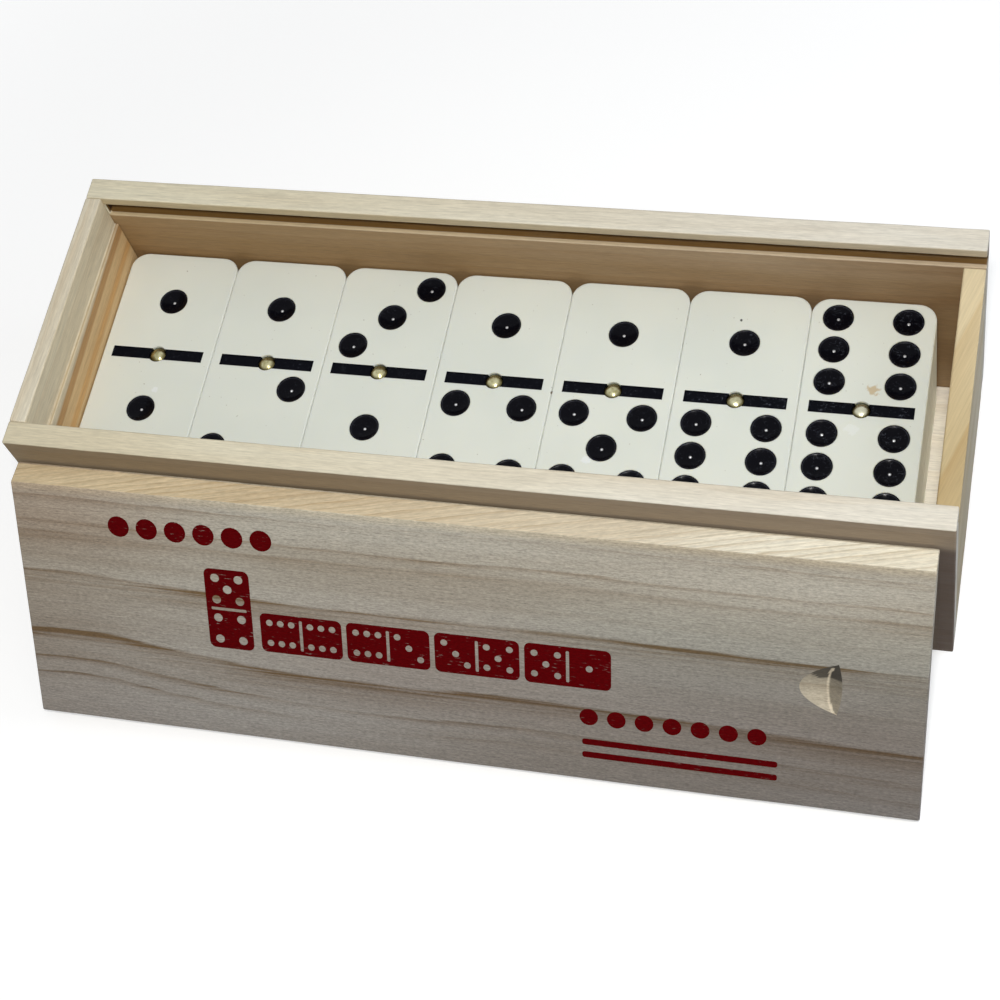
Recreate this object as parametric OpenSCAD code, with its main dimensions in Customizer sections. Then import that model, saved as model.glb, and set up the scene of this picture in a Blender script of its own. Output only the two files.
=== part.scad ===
// Wooden storage box for a set of domino tiles, with its sliding lid taken off.
// The lid leans on the long front wall, and the tiles lie in layers inside the box.
// Origin: middle of the box's underside. +X runs along the box to its open end,
// +Y to the back wall and +Z up. All sizes are in millimetres.

/* [Tiles] */
// Width of a tile
tile_width = 25; // [22:0.5:28]
// Length of a tile
tile_length = 51.5; // [48:0.5:56]
// Thickness of a tile
tile_thickness = 7.8; // [6.5:0.1:10]
// Radius of a tile's four upright corners
tile_corner = 3.8; // [2.5:0.1:5]
// Bevel along the edges of a tile's two faces
tile_bevel = 0.6; // [0.3:0.1:1]
// Gap between neighbouring tiles in a layer
tile_gap = 0.3; // [0.2:0.1:0.8]

/* [Tile marks] */
// Diameter of a pip's hollow
pip_diameter = 6.4; // [4.5:0.1:6.8]
// Depth of a pip's hollow
pip_depth = 0.8; // [0.4:0.1:1.1]
// Distance between neighbouring pip columns
pip_column = 7.1; // [6.9:0.1:7.4]
// Distance between neighbouring pip rows
pip_row = 7.6; // [7:0.1:7.8]
// Distance from the middle of a tile to the middle pip of each half
pip_centre = 13.6; // [13.2:0.1:14]
// Length of the sunk bar between the two halves
bar_length = 21; // [16:0.5:22]
// Width of the sunk bar
bar_width = 2.7; // [1.5:0.1:2.8]
// Depth of the sunk bar
bar_depth = 0.3; // [0.2:0.1:0.5]

/* [Pins] */
// Diameter of a pin's round head
head_diameter = 3.8; // [3:0.1:4.5]
// How deep the head's rim sits in the tile
head_seat = 0.6; // [0.5:0.1:1]
// How far the head's dome stands proud of the tile
head_proud = 0.3; // [0.2:0.05:0.5]
// Diameter of a pin's shank
shank_diameter = 1.6; // [1.2:0.1:2]
// Length of a pin's shank below its head
shank_length = 4; // [3:0.5:5]
// Radial clearance of a pin in its hole
pin_clearance = 0.05; // [0.02:0.01:0.1]

/* [Filling] */
// Gap between the first tile of a layer and the closed end wall
first_gap = 0.4; // [0.3:0.1:1]
// Free length between the last tile of a layer and the open end wall
end_space = 4.8; // [4:0.1:8]
// Gap between the tiles and the back wall
back_gap = 0.3; // [0.3:0.1:1]
// Free width between the tiles and the front wall
front_space = 4.1; // [1:0.1:6]
// Gap between a pin's dome and the tile above it
layer_clearance = 0.1; // [0.1:0.1:0.3]
// Free height between the top tiles and the lid's seat
headroom = 13.9; // [8:0.5:20]

/* [Walls] */
// Thickness of the long front and back walls
long_wall = 5.2; // [4.6:0.1:7]
// Thickness of the end walls
end_wall = 4.5; // [4:0.1:7]
// Thickness of the bottom panel
bottom_thickness = 2.5; // [2:0.1:4]

/* [Lid groove] */
// Height of the lip that holds the lid down
lip_height = 2.4; // [2:0.1:4]
// Height of the groove
groove_height = 3.6; // [3:0.1:4.2]
// Depth of the groove in each long wall
groove_depth = 2.3; // [1.5:0.1:3]
// Height of the step in the closed end wall, below the rim
step_height = 9; // [7:0.1:12]
// Depth of the step in the closed end wall
step_depth = 0.8; // [0.5:0.1:2]

/* [Lid] */
// Thickness of the lid
lid_thickness = 4.5; // [3.8:0.1:5]
// Width of the slope along each long edge of the lid
lid_slope = 2.6; // [2.2:0.1:3.5]
// Height of the thin upright edge below each slope
lid_edge = 0.6; // [0.4:0.1:1]
// Clearance between the lid and the bottom of each groove
lid_side_gap = 0.4; // [0.2:0.1:0.6]
// Clearance between the lid's end and the closed end wall
lid_end_gap = 0.3; // [0.2:0.1:0.6]

/* [Thumb notch] */
// Width of the thumb notch across the lid
notch_width = 11.6; // [9:0.1:14]
// Length of the notch's slope
notch_length = 8.2; // [6:0.1:12]
// Depth of the notch at its steep side
notch_depth = 2.2; // [1.5:0.1:2.8]
// Radius of the curved steep side
notch_curve = 18; // [12:0.5:30]
// Distance from the notch's steep side to the lid's free end
notch_inset = 16; // [12:0.5:24]

/* [Lid leaning on the box] */
// Drop from the box's rim to the lid's upper edge
lean_drop = 7.1; // [4:0.1:12]
// Gap between the lid's upper edge and the front wall
lean_gap = 0.3; // [0.2:0.1:0.5]
// Sideways shift of the leaning lid from the box's middle
lean_shift = -0.9; // [-5:0.1:5]

/* [Hidden] */
$fn = 48;
// Overshoot of a cut past the face that it opens
cut = 1;

// Values of the two halves of each tile, [back half, front half], one list per layer,
// from the bottom layer up and from the closed end of the box to the open end.
LAYERS = [
    [[0, 0], [0, 1], [0, 2], [0, 3], [0, 4], [0, 5], [0, 6]],
    [[2, 2], [2, 3], [2, 4], [2, 5], [2, 6], [3, 3], [3, 4]],
    [[3, 5], [3, 6], [4, 4], [4, 5], [4, 6], [5, 5], [5, 6]],
    [[1, 1], [1, 2], [3, 1], [1, 4], [1, 5], [1, 6], [6, 6]],
];
layer_count = len(LAYERS);
row_count = len(LAYERS[0]);
top_layer = layer_count - 1;

tile_pitch = tile_width + tile_gap;
layer_pitch = tile_thickness + head_proud + layer_clearance;
inner_length = first_gap + row_count * tile_pitch - tile_gap + end_space;
inner_width = back_gap + tile_length + front_space;
box_length = inner_length + 2 * end_wall;
box_width = inner_width + 2 * long_wall;
seat_height = bottom_thickness + top_layer * layer_pitch + tile_thickness + headroom;
box_height = seat_height + groove_height + lip_height;
step_floor = box_height - step_height;

groove_start = end_wall - step_depth;
lid_width = inner_width + 2 * (groove_depth - lid_side_gap);
lid_length = box_length - groove_start - lid_end_gap;
lean_height = box_height - lean_drop;
lean_angle = asin(lean_height / lid_width);
lean_foot = -box_width / 2 - lean_gap - lid_width * cos(lean_angle);

// Radius of the sphere whose cap has the given diameter and depth
function cap_radius(diameter, depth) = (diameter * diameter / 4 + depth * depth) / (2 * depth);

// Pip places in a half, in steps of column and row from its middle
function corners() = [[-1, 1], [1, 1], [-1, -1], [1, -1]];
function pips(value) =
    value == 0 ? [] :
    value == 1 ? [[0, 0]] :
    value == 2 ? [[1, 1], [-1, -1]] :
    value == 3 ? [[1, 1], [0, 0], [-1, -1]] :
    value == 4 ? corners() :
    value == 5 ? concat(corners(), [[0, 0]]) :
    concat(corners(), [[-1, 0], [1, 0]]);

function pair_name(values) = str(min(values), "_", max(values));
function tile_name(values) = str("tile_", pair_name(values));
function pin_name(values) = str("pin_", pair_name(values));
function layer_pins_name(layer) = str("pins_layer_", layer + 1);

// Middle of a tile's underside, by layer and place in the layer
function tile_place(layer, place) = [
    -inner_length / 2 + first_gap + tile_width / 2 + place * tile_pitch,
    inner_width / 2 - back_gap - tile_length / 2,
    bottom_thickness + layer * layer_pitch
];

module bottom_panel() {
    color("burlywood")
        translate([-inner_length / 2, -inner_width / 2, 0])
            cube([inner_length, inner_width, bottom_thickness]);
}

// A long wall with its outer face at y = 0 and the lid's groove on its +Y side.
// The groove is open at the box's open end and stops inside the closed end wall.
module long_wall_board() {
    translate([-box_length / 2, 0, 0])
        difference() {
            cube([box_length, long_wall, box_height]);
            translate([groove_start, long_wall - groove_depth, seat_height])
                cube([box_length, groove_depth + cut, groove_height]);
        }
}

module front_wall() {
    color("wheat")
        translate([0, -box_width / 2, 0])
            long_wall_board();
}

module back_wall() {
    color("wheat")
        translate([0, box_width / 2, 0])
            mirror([0, 1, 0])
                long_wall_board();
}

module closed_end_wall() {
    color("tan")
        translate([-box_length / 2, -inner_width / 2, 0])
            difference() {
                cube([end_wall, inner_width, box_height]);
                translate([groove_start, -cut, step_floor])
                    cube([end_wall, inner_width + 2 * cut, step_height + cut]);
            }
}

module open_end_wall() {
    color("wheat")
        translate([inner_length / 2, -inner_width / 2, 0])
            cube([end_wall, inner_width, seat_height]);
}

// Thumb notch with its steep side at x = 0, middle at y = 0, on a face at z = 0
module thumb_notch() {
    slope_angle = atan(notch_depth / notch_length);
    scoop_radius = cap_radius(notch_width, notch_depth);
    intersection() {
        translate([-notch_length, 0, 0])
            rotate([0, slope_angle, 0])
                translate([-notch_length, 0, scoop_radius])
                    rotate([0, 90, 0])
                        cylinder(h = 4 * notch_length, r = scoop_radius);
        translate([-notch_curve, 0, -2 * notch_depth])
            cylinder(h = 4 * notch_depth, r = notch_curve);
        translate([-2 * notch_length, -notch_width, -2 * notch_depth])
            cube([3 * notch_length, 2 * notch_width, 4 * notch_depth]);
    }
}

// The lid, lying with its underside at z = 0 and one long edge along the X axis
module lid_board() {
    difference() {
        rotate([90, 0, 90])
            linear_extrude(height = lid_length)
                polygon([
                    [0, 0],
                    [lid_width, 0],
                    [lid_width, lid_edge],
                    [lid_width - lid_slope, lid_thickness],
                    [lid_slope, lid_thickness],
                    [0, lid_edge]
                ]);
        translate([lid_length - notch_inset, lid_width / 2, lid_thickness])
            thumb_notch();
    }
}

module lid() {
    color("burlywood")
        translate([lean_shift - lid_length / 2, lean_foot, 0])
            rotate([lean_angle, 0, 0])
                lid_board();
}

// Half outline of a tile's edge, from its inner side out to the given distance
module edge_outline(inner, outer) {
    polygon([
        [inner, 0],
        [outer - tile_bevel, 0],
        [outer, tile_bevel],
        [outer, tile_thickness - tile_bevel],
        [outer - tile_bevel, tile_thickness],
        [inner, tile_thickness]
    ]);
}

// A bar of the given length along Y, whose section reaches half_width to each side
module bevelled_bar(half_width, length) {
    translate([0, length / 2, 0])
        rotate([90, 0, 0])
            linear_extrude(height = length) {
                edge_outline(0, half_width);
                mirror([1, 0])
                    edge_outline(0, half_width);
            }
}

module tile_blank() {
    corner_x = tile_width / 2 - tile_corner;
    corner_y = tile_length / 2 - tile_corner;
    bevelled_bar(tile_width / 2, 2 * corner_y);
    rotate([0, 0, 90])
        bevelled_bar(tile_length / 2, 2 * corner_x);
    for (x = [-corner_x, corner_x])
        for (y = [-corner_y, corner_y])
            translate([x, y, 0])
                rotate_extrude()
                    edge_outline(0, tile_corner);
}

module pip_hollows(value) {
    radius = cap_radius(pip_diameter, pip_depth);
    for (pip = pips(value))
        translate([pip[0] * pip_column, pip[1] * pip_row, tile_thickness - pip_depth + radius])
            sphere(r = radius);
}

module pin_hole() {
    seat_radius = head_diameter / 2 + pin_clearance;
    hole_radius = shank_diameter / 2 + pin_clearance;
    hole_depth = head_seat + shank_length + pin_clearance;
    translate([0, 0, tile_thickness - head_seat])
        cylinder(h = head_seat + cut, r = seat_radius);
    translate([0, 0, tile_thickness - hole_depth])
        cylinder(h = hole_depth + cut, r = hole_radius);
}

// A tile with its middle at the origin and its underside at z = 0
module tile(values) {
    color("ivory")
        difference() {
            tile_blank();
            translate([0, pip_centre, 0])
                pip_hollows(values[0]);
            translate([0, -pip_centre, 0])
                pip_hollows(values[1]);
            translate([-bar_length / 2, -bar_width / 2, tile_thickness - bar_depth])
                cube([bar_length, bar_width, bar_depth + cut]);
            pin_hole();
        }
}

// A pin in the tile that has its middle at the origin and its underside at z = 0
module pin() {
    dome_radius = cap_radius(head_diameter, head_seat + head_proud);
    color("goldenrod")
        translate([0, 0, tile_thickness - head_seat]) {
            intersection() {
                cylinder(h = head_seat + head_proud + cut, r = head_diameter / 2);
                translate([0, 0, head_seat + head_proud - dome_radius])
                    sphere(r = dome_radius);
            }
            translate([0, 0, -shank_length])
                cylinder(h = shank_length + head_seat / 2, r = shank_diameter / 2);
        }
}

module layer_pins(layer) {
    for (place = [0 : row_count - 1])
        translate(tile_place(layer, place))
            pin();
}

bottom_panel();
front_wall();
back_wall();
closed_end_wall();
open_end_wall();
lid();
for (layer = [0 : top_layer])
    for (place = [0 : row_count - 1])
        translate(tile_place(layer, place))
                tile(LAYERS[layer][place]);
for (place = [0 : row_count - 1])
    translate(tile_place(top_layer, place))
            pin();
for (layer = [0 : top_layer - 1])
    layer_pins(layer);
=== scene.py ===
"""Looks of the wooden domino box: pine boards, ivory tiles with sunk black marks, brass pins.

Every piece is built in millimetres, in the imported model's own frame. Its mesh is then stored
in metres.
"""

import math

import bmesh
import bpy
from mathutils import Matrix, Vector, noise
from mathutils.geometry import delaunay_2d_cdt


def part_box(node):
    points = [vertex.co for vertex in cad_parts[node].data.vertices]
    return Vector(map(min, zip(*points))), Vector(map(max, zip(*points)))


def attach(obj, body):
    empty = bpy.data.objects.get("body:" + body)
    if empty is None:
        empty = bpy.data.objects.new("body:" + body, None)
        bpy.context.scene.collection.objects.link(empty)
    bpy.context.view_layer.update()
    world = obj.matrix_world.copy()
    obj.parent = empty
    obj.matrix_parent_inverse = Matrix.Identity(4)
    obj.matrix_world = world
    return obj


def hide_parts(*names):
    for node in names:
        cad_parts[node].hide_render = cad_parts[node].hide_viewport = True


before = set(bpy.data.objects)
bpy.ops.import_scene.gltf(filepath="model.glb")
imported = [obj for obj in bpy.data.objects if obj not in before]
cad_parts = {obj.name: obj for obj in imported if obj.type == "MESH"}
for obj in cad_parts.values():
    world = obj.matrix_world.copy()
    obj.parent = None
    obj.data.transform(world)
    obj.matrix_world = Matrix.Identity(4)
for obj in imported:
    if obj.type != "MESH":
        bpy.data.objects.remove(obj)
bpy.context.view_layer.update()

MM = 0.001

# The camera, fitted to the corners of the box and the lid
CAMERA_PLACE = (107.727, -205.153, 395.008)
CAMERA_TURN = (28.2092, 10.3241, 11.3777)
CAMERA_LENS = 74.1614
SENSOR_WIDTH = 36.0
CLIP_START, CLIP_END = 0.01, 20.0

# Tiles, in millimetres
CORNER = 3.8
FILLET = 0.35
FILLET_STEPS = 6
CORNER_STEPS = 10
PIP_RADIUS = 3.15
PIP_DEPTH = 0.8
PIP_COLUMN = 7.1
PIP_ROW = 7.6
PIP_CENTRE = 13.6
PIP_RIM = 0.1
# Sides and rings of a pip's hollow, on the tiles that show and on the hidden ones
SHOWN_PIP = (40, 13)
HIDDEN_PIP = (24, 7)
# How far every other ring of a hollow stands out, as turning marks do
RING_RIPPLE = 0.0012
# A painted glint in the middle of each hollow, and the pale ring near the hollow's rim, a painted
# sheen
GLINT_RADIUS = 0.32
PALE_RING_RADIUS = 2.86
PALE_RING_WIDTH = 0.13
BAR_LENGTH = 21.0
BAR_WIDTH = 2.7
BAR_DEPTH = 0.3
SEAT_RADIUS = 1.95
SEAT_DEPTH = 0.6
# Steps of the seat's outline along the bar's long sides and inside the bar
ARC_STEPS = 12
SIDE_STEPS = 8
# How far the long sides of the visible tiles reach past the CAD's, so that the gaps close
SIDE_SWELL = 0.14

# Pins, in millimetres
PIN_SIDES = 32
HEAD_RADIUS = 1.9
HEAD_PROUD = 0.3
HEAD_ROUND = 2.5
HEAD_STEPS = 12
HEAD_DENT = 0.06
DENT_SCALE = 0.9
SHANK_RADIUS = 0.8
SHANK_LENGTH = 4.0
SHANK_TIP = 0.4

# Material slots of the tiles' meshes, and of the lid's bevels and notch. Its faces have slot 0
# and its ink has slot 1
TILE_IVORY, TILE_PIP, TILE_BAR, TILE_GLINT, TILE_RING = range(5)
LID_BEVEL, LID_CUT = 2, 3

# Values of the tiles, back half first, from the bottom layer up and from the closed end on
LAYERS = [
    [(0, 0), (0, 1), (0, 2), (0, 3), (0, 4), (0, 5), (0, 6)],
    [(2, 2), (2, 3), (2, 4), (2, 5), (2, 6), (3, 3), (3, 4)],
    [(3, 5), (3, 6), (4, 4), (4, 5), (4, 6), (5, 5), (5, 6)],
    [(1, 1), (1, 2), (3, 1), (1, 4), (1, 5), (1, 6), (6, 6)],
]
FOUR = [(-1, 1), (1, 1), (-1, -1), (1, -1)]
PIPS = {
    0: [],
    1: [(0, 0)],
    2: [(1, 1), (-1, -1)],
    3: [(1, 1), (0, 0), (-1, -1)],
    4: FOUR,
    5: FOUR + [(0, 0)],
    6: FOUR + [(-1, 0), (1, 0)],
}


# ---------------------------------------------------------------- meshes


def add_object(name, data):
    made = bpy.data.objects.new(name, data)
    bpy.context.scene.collection.objects.link(made)
    return made


def finish_mesh(name, bm, materials, body, replaced, place=Matrix.Identity(4)):
    """Makes a piece of the mesh, which is in millimetres, and lets it ride on a body."""
    bm.transform(place)
    bm.transform(Matrix.Scale(MM, 4))
    mesh = bpy.data.meshes.new(name)
    bm.to_mesh(mesh)
    bm.free()
    for material in materials:
        mesh.materials.append(material)
    piece = add_object(name, mesh)
    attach(piece, body)
    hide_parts(replaced)


def circle(radius, sides, centre=(0.0, 0.0)):
    """Points of a circle, anticlockwise."""
    angles = (2 * math.pi * k / sides for k in range(sides))
    return [(centre[0] + radius * math.cos(a), centre[1] + radius * math.sin(a)) for a in angles]


def rounded_rectangle(half_x, half_y, radius, steps, centre=(0.0, 0.0)):
    """Points of a rectangle with round corners, anticlockwise."""
    points = []
    for number, (sign_x, sign_y) in enumerate([(1, 1), (-1, 1), (-1, -1), (1, -1)]):
        for k in range(steps + 1):
            angle = math.pi / 2 * (number + k / steps)
            x = sign_x * (half_x - radius) + radius * math.cos(angle)
            y = sign_y * (half_y - radius) + radius * math.sin(angle)
            points.append((centre[0] + x, centre[1] + y))
    return points


def add_loop(bm, points, height):
    return [bm.verts.new((x, y, height)) for x, y in points]


def bridge(bm, lower, upper, material=0):
    """A strip of smooth quads between two loops of the same number of vertices."""
    count = len(lower)
    for k in range(count):
        quad = (lower[k], lower[(k + 1) % count], upper[(k + 1) % count], upper[k])
        face = bm.faces.new(quad)
        face.smooth = True
        face.material_index = material


def fill(bm, outer, holes, height, shapes=()):
    """Fills the flat region inside outer and outside the holes.

    Faces inside an odd number of shapes get material 1, the others material 0.
    """
    known = list(outer) + [v for hole in holes for v in hole]
    coords = [Vector((v.co.x, v.co.y)) for v in known]
    loops = [list(range(len(outer)))]
    start = len(outer)
    for hole in holes:
        loops.append(list(range(start, start + len(hole))))
        start += len(hole)
    for shape in shapes:
        loops.append(list(range(len(coords), len(coords) + len(shape))))
        coords += [Vector(p) for p in shape]
    out = delaunay_2d_cdt(coords, [], loops, 1, 1e-6, True)
    points, faces, from_verts, from_faces = out[0], out[2], out[3], out[5]
    verts = []
    for point, sources in zip(points, from_verts):
        own = [known[s] for s in sources if s < len(known)]
        verts.append(own[0] if own else bm.verts.new((point.x, point.y, height)))
    for corners, inside in zip(faces, from_faces):
        if 0 not in inside or any(1 <= s <= len(holes) for s in inside):
            continue
        face = bm.faces.new([verts[k] for k in corners])
        face.smooth = False
        face.material_index = sum(s > len(holes) for s in inside) % 2


def pip_depth(radius):
    """Depth of a pip's hollow, a round cap, at a distance from its middle."""
    sphere = (PIP_RADIUS**2 + PIP_DEPTH**2) / (2 * PIP_DEPTH)
    return PIP_DEPTH - sphere + math.sqrt(sphere**2 - radius**2)


def add_pip(bm, centre, top, sides, rings):
    """A black hollow. Returns the loop of its rim, for the tile's face to join."""
    rim = add_loop(bm, circle(PIP_RADIUS + PIP_RIM, sides, centre), top)
    last = add_loop(bm, circle(PIP_RADIUS, sides, centre), top - PIP_RIM / 2)
    bridge(bm, last, rim)
    pale_inside = PALE_RING_RADIUS - PALE_RING_WIDTH / 2
    pale_outside = PALE_RING_RADIUS + PALE_RING_WIDTH / 2
    radii = {PIP_RADIUS * k / rings for k in range(1, rings)} | {GLINT_RADIUS}
    radii = {r for r in radii if abs(r - PALE_RING_RADIUS) > PALE_RING_WIDTH}
    radii |= {pale_inside, pale_outside}
    inwards = sorted((r for r in radii if r >= GLINT_RADIUS), reverse=True)
    for number, radius in enumerate(inwards):
        depth = max(pip_depth(radius), PIP_RIM / 2)
        depth += RING_RIPPLE * (1 if number % 2 else -1)
        loop = add_loop(bm, circle(radius, sides, centre), top - depth)
        bridge(bm, loop, last, TILE_RING if radius == pale_inside else TILE_PIP)
        last = loop
    # The middle of the hollow carries the painted glint
    tip = bm.verts.new((centre[0], centre[1], top - pip_depth(0.0)))
    for k in range(sides):
        face = bm.faces.new((tip, last[k], last[(k + 1) % sides]))
        face.smooth = True
        face.material_index = TILE_GLINT
    return rim


def add_bar(bm, top):
    """The sunk black bar with the pin's seat. Returns the loop of its outline."""
    half_x, half_y = BAR_LENGTH / 2, BAR_WIDTH / 2
    cross = math.sqrt(SEAT_RADIUS**2 - half_y**2)
    start = math.atan2(half_y, cross)

    def arc(first, last, steps):
        angles = (first + (last - first) * k / steps for k in range(steps + 1))
        return [(SEAT_RADIUS * math.cos(a), SEAT_RADIUS * math.sin(a)) for a in angles]

    back = arc(start, math.pi - start, ARC_STEPS)
    front = arc(math.pi + start, 2 * math.pi - start, ARC_STEPS)
    left = arc(math.pi - start, math.pi + start, SIDE_STEPS)
    right = arc(-start, start, SIDE_STEPS)
    outline = [(half_x, -half_y), (half_x, half_y)] + back
    outline += [(-half_x, half_y), (-half_x, -half_y)] + front
    rim = add_loop(bm, outline, top)
    floor = top - BAR_DEPTH
    seat = top - SEAT_DEPTH
    sunk = {}

    def at(point, height):
        key = (round(point[0], 5), round(point[1], 5), height)
        if key not in sunk:
            sunk[key] = bm.verts.new((point[0], point[1], height))
        return sunk[key]

    def wall(points, uppers, low, material):
        for k in range(len(points) - 1):
            upper = uppers[k + 1], uppers[k]
            face = bm.faces.new((at(points[k], low), at(points[k + 1], low), *upper))
            face.smooth = False
            face.material_index = material

    count = len(outline)
    # The outline's edges along the two arcs, each of which comes after two corners of the bar
    on_arcs = {*range(2, 2 + ARC_STEPS), *range(5 + ARC_STEPS, 5 + 2 * ARC_STEPS)}
    for k in range(count):
        ends = outline[k], outline[(k + 1) % count]
        uppers = [rim[k], rim[(k + 1) % count]]
        if k in on_arcs:
            wall(ends, uppers, seat, TILE_IVORY)
        else:
            wall(ends, uppers, floor, TILE_BAR)
    for side, ends in (
        (right, [(half_x, half_y), (half_x, -half_y)]),
        (left, [(-half_x, -half_y), (-half_x, half_y)]),
    ):
        uppers = [at(p, floor) for p in side]
        face = bm.faces.new(uppers + [at(p, floor) for p in ends])
        face.smooth = False
        face.material_index = TILE_BAR
        wall(side, uppers, seat, TILE_BAR)
    ring = back[:-1] + left[:-1] + front[:-1] + right[:-1]
    face = bm.faces.new([at(p, seat) for p in ring])
    face.material_index = TILE_BAR
    return rim


def tile(values, thickness, half_x, half_y, sides, rings):
    """A tile with its middle at the origin and its underside at z = 0."""
    bm = bmesh.new()

    def outline(inset):
        return rounded_rectangle(half_x - inset, half_y - inset, CORNER - inset, CORNER_STEPS)

    angles = [math.pi / 2 * (k / FILLET_STEPS) for k in range(FILLET_STEPS + 1)]
    fillet = [(FILLET * (1 - math.sin(a)), FILLET * (1 - math.cos(a))) for a in angles]
    loops = [add_loop(bm, outline(inset), rise) for inset, rise in fillet]
    loops += [add_loop(bm, outline(inset), thickness - drop) for drop, inset in fillet]
    for lower, upper in zip(loops, loops[1:]):
        bridge(bm, lower, upper)
    bm.faces.new(loops[0][::-1]).smooth = False
    holes = [add_bar(bm, thickness)]
    for sign, value in zip((1, -1), values):
        for column, row in PIPS[value]:
            centre = (column * PIP_COLUMN, sign * PIP_CENTRE + row * PIP_ROW)
            holes.append(add_pip(bm, centre, thickness, sides, rings))
    fill(bm, loops[-1], holes, thickness)
    return bm


def pin_into(bm, middle, top, seed):
    """A brass pin: a slightly dented dome on a shank. top is the height of the tile's face."""
    profile = [
        (SHANK_RADIUS / 2, -SEAT_DEPTH - SHANK_LENGTH),
        (SHANK_RADIUS, -SEAT_DEPTH - SHANK_LENGTH + SHANK_TIP),
        (SHANK_RADIUS, -SEAT_DEPTH),
    ]
    for k in range(HEAD_STEPS, 0, -1):
        radius = HEAD_RADIUS * k / HEAD_STEPS
        drop = HEAD_ROUND - math.sqrt(HEAD_ROUND**2 - radius**2)
        profile.append((radius, HEAD_PROUD - drop))
    last = None
    for radius, height in profile:
        loop = []
        for x, y in circle(radius, PIN_SIDES):
            place = Vector((x * DENT_SCALE, y * DENT_SCALE, seed * 3.7))
            dent = noise.noise(place) * HEAD_DENT
            lift = dent * min(1.0, 3 * (HEAD_RADIUS - radius)) if height > -SEAT_DEPTH else 0.0
            loop.append(bm.verts.new((middle[0] + x, middle[1] + y, top + height + lift)))
        if last is None:
            bm.faces.new(loop[::-1])
        else:
            bridge(bm, last, loop)
        last = loop
    tip = bm.verts.new((middle[0], middle[1], top + HEAD_PROUD))
    for k in range(PIN_SIDES):
        bm.faces.new((last[k], last[(k + 1) % PIN_SIDES], tip)).smooth = True


def edge_angle(edge):
    return edge.calc_face_angle(0.0) if len(edge.link_faces) == 2 else 0.0


# From this angle on, an edge is sharp
SHARP = math.radians(25)
# At most this many times are the long edges cut in half
SPLIT_ROUNDS = 9
# The long and the short waves of a worn edge, in features per millimetre, and their depth,
# as a share of the edge's width
LONG_WAVE, SHORT_WAVE = 0.11, 0.45
WAVE_DEPTH = 0.3


def wear_edges(bm, width, step, seed):
    """Rounds every sharp edge, unevenly, as sanded wood is."""
    for _ in range(SPLIT_ROUNDS):
        long_edges = [e for e in bm.edges if edge_angle(e) > SHARP and e.calc_length() > 2 * step]
        if not long_edges:
            break
        bmesh.ops.subdivide_edges(bm, edges=long_edges, cuts=1)
    sharp = [e for e in bm.edges if edge_angle(e) > SHARP]
    for face in bm.faces:
        face.smooth = False
    result = bmesh.ops.bevel(
        bm, geom=sharp, offset=width, offset_type="OFFSET", segments=3, profile=0.5,
        affect="EDGES", clamp_overlap=True,
    )
    for face in result["faces"]:
        face.smooth = True
    bm.normal_update()
    for v in {v for face in result["faces"] for v in face.verts}:
        rough = noise.noise(v.co * LONG_WAVE + Vector((seed, 0, 0)))
        rough += 0.6 * noise.noise(v.co * SHORT_WAVE + Vector((0, seed, 0)))
        v.co += v.normal * (-abs(rough) * WAVE_DEPTH * width)


# How far apart a worn board's edges have points, in millimetres
BOARD_STEP = 5.0


def board(node, material, seed, width=0.35):
    """A board of the box, with the shape of its CAD node and worn edges of the given width."""
    bm = bmesh.new()
    bm.from_mesh(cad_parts[node].data)
    bm.transform(Matrix.Scale(1 / MM, 4))
    bmesh.ops.remove_doubles(bm, verts=bm.verts, dist=1e-4)
    bmesh.ops.dissolve_limit(bm, angle_limit=math.radians(0.5), verts=bm.verts, edges=bm.edges)
    wear_edges(bm, width, BOARD_STEP, seed)
    finish_mesh(node + "_wood", bm, [material], "box", node)


# ---------------------------------------------------------------- materials


def add_node(tree, kind, inputs=None, **settings):
    made = tree.nodes.new(kind)
    for key, value in settings.items():
        setattr(made, key, value)
    for key, value in (inputs or {}).items():
        if isinstance(value, bpy.types.NodeSocket):
            tree.links.new(value, made.inputs[key])
        else:
            made.inputs[key].default_value = value
    return made


def calc(tree, operation, *values):
    """The output of a Math node."""
    inputs = dict(enumerate(values))
    return add_node(tree, "ShaderNodeMath", inputs, operation=operation).outputs[0]


def mix(tree, factor, first, second, blend="MIX"):
    """The output of a colour Mix node."""
    inputs = {0: factor, 6: first, 7: second}
    made = add_node(tree, "ShaderNodeMix", inputs, data_type="RGBA", blend_type=blend)
    return made.outputs[2]


def times(tree, first, second):
    """The product of two colours."""
    return mix(tree, 1.0, first, second, "MULTIPLY")


def grey(tree, value):
    """A colour whose three parts are the value."""
    return add_node(tree, "ShaderNodeCombineColor", {0: value, 1: value, 2: value}).outputs[0]


def axes(tree, vector):
    """The three parts of a vector."""
    return add_node(tree, "ShaderNodeSeparateXYZ", {0: vector}).outputs


def spread(tree, value, low, high, to_low=0.0, to_high=1.0, smooth=True):
    """Maps value from low..high to to_low..to_high, clamped."""
    inputs = {"Value": value, 1: low, 2: high, 3: to_low, 4: to_high}
    kind = "SMOOTHSTEP" if smooth else "LINEAR"
    return add_node(tree, "ShaderNodeMapRange", inputs, interpolation_type=kind).outputs[0]


def noise_at(tree, vector, scale, detail, roughness, seed):
    """A noise's value, with its own scale along each axis, in features per millimetre."""
    inputs = {"Vector": vector, "Location": (seed * 7.3, seed * 3.1, seed * 5.7), "Scale": scale}
    placed = add_node(tree, "ShaderNodeMapping", inputs).outputs[0]
    inputs = {"Vector": placed, "Scale": 1.0, "Detail": detail, "Roughness": roughness}
    return add_node(tree, "ShaderNodeTexNoise", inputs).outputs["Fac"]


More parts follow.
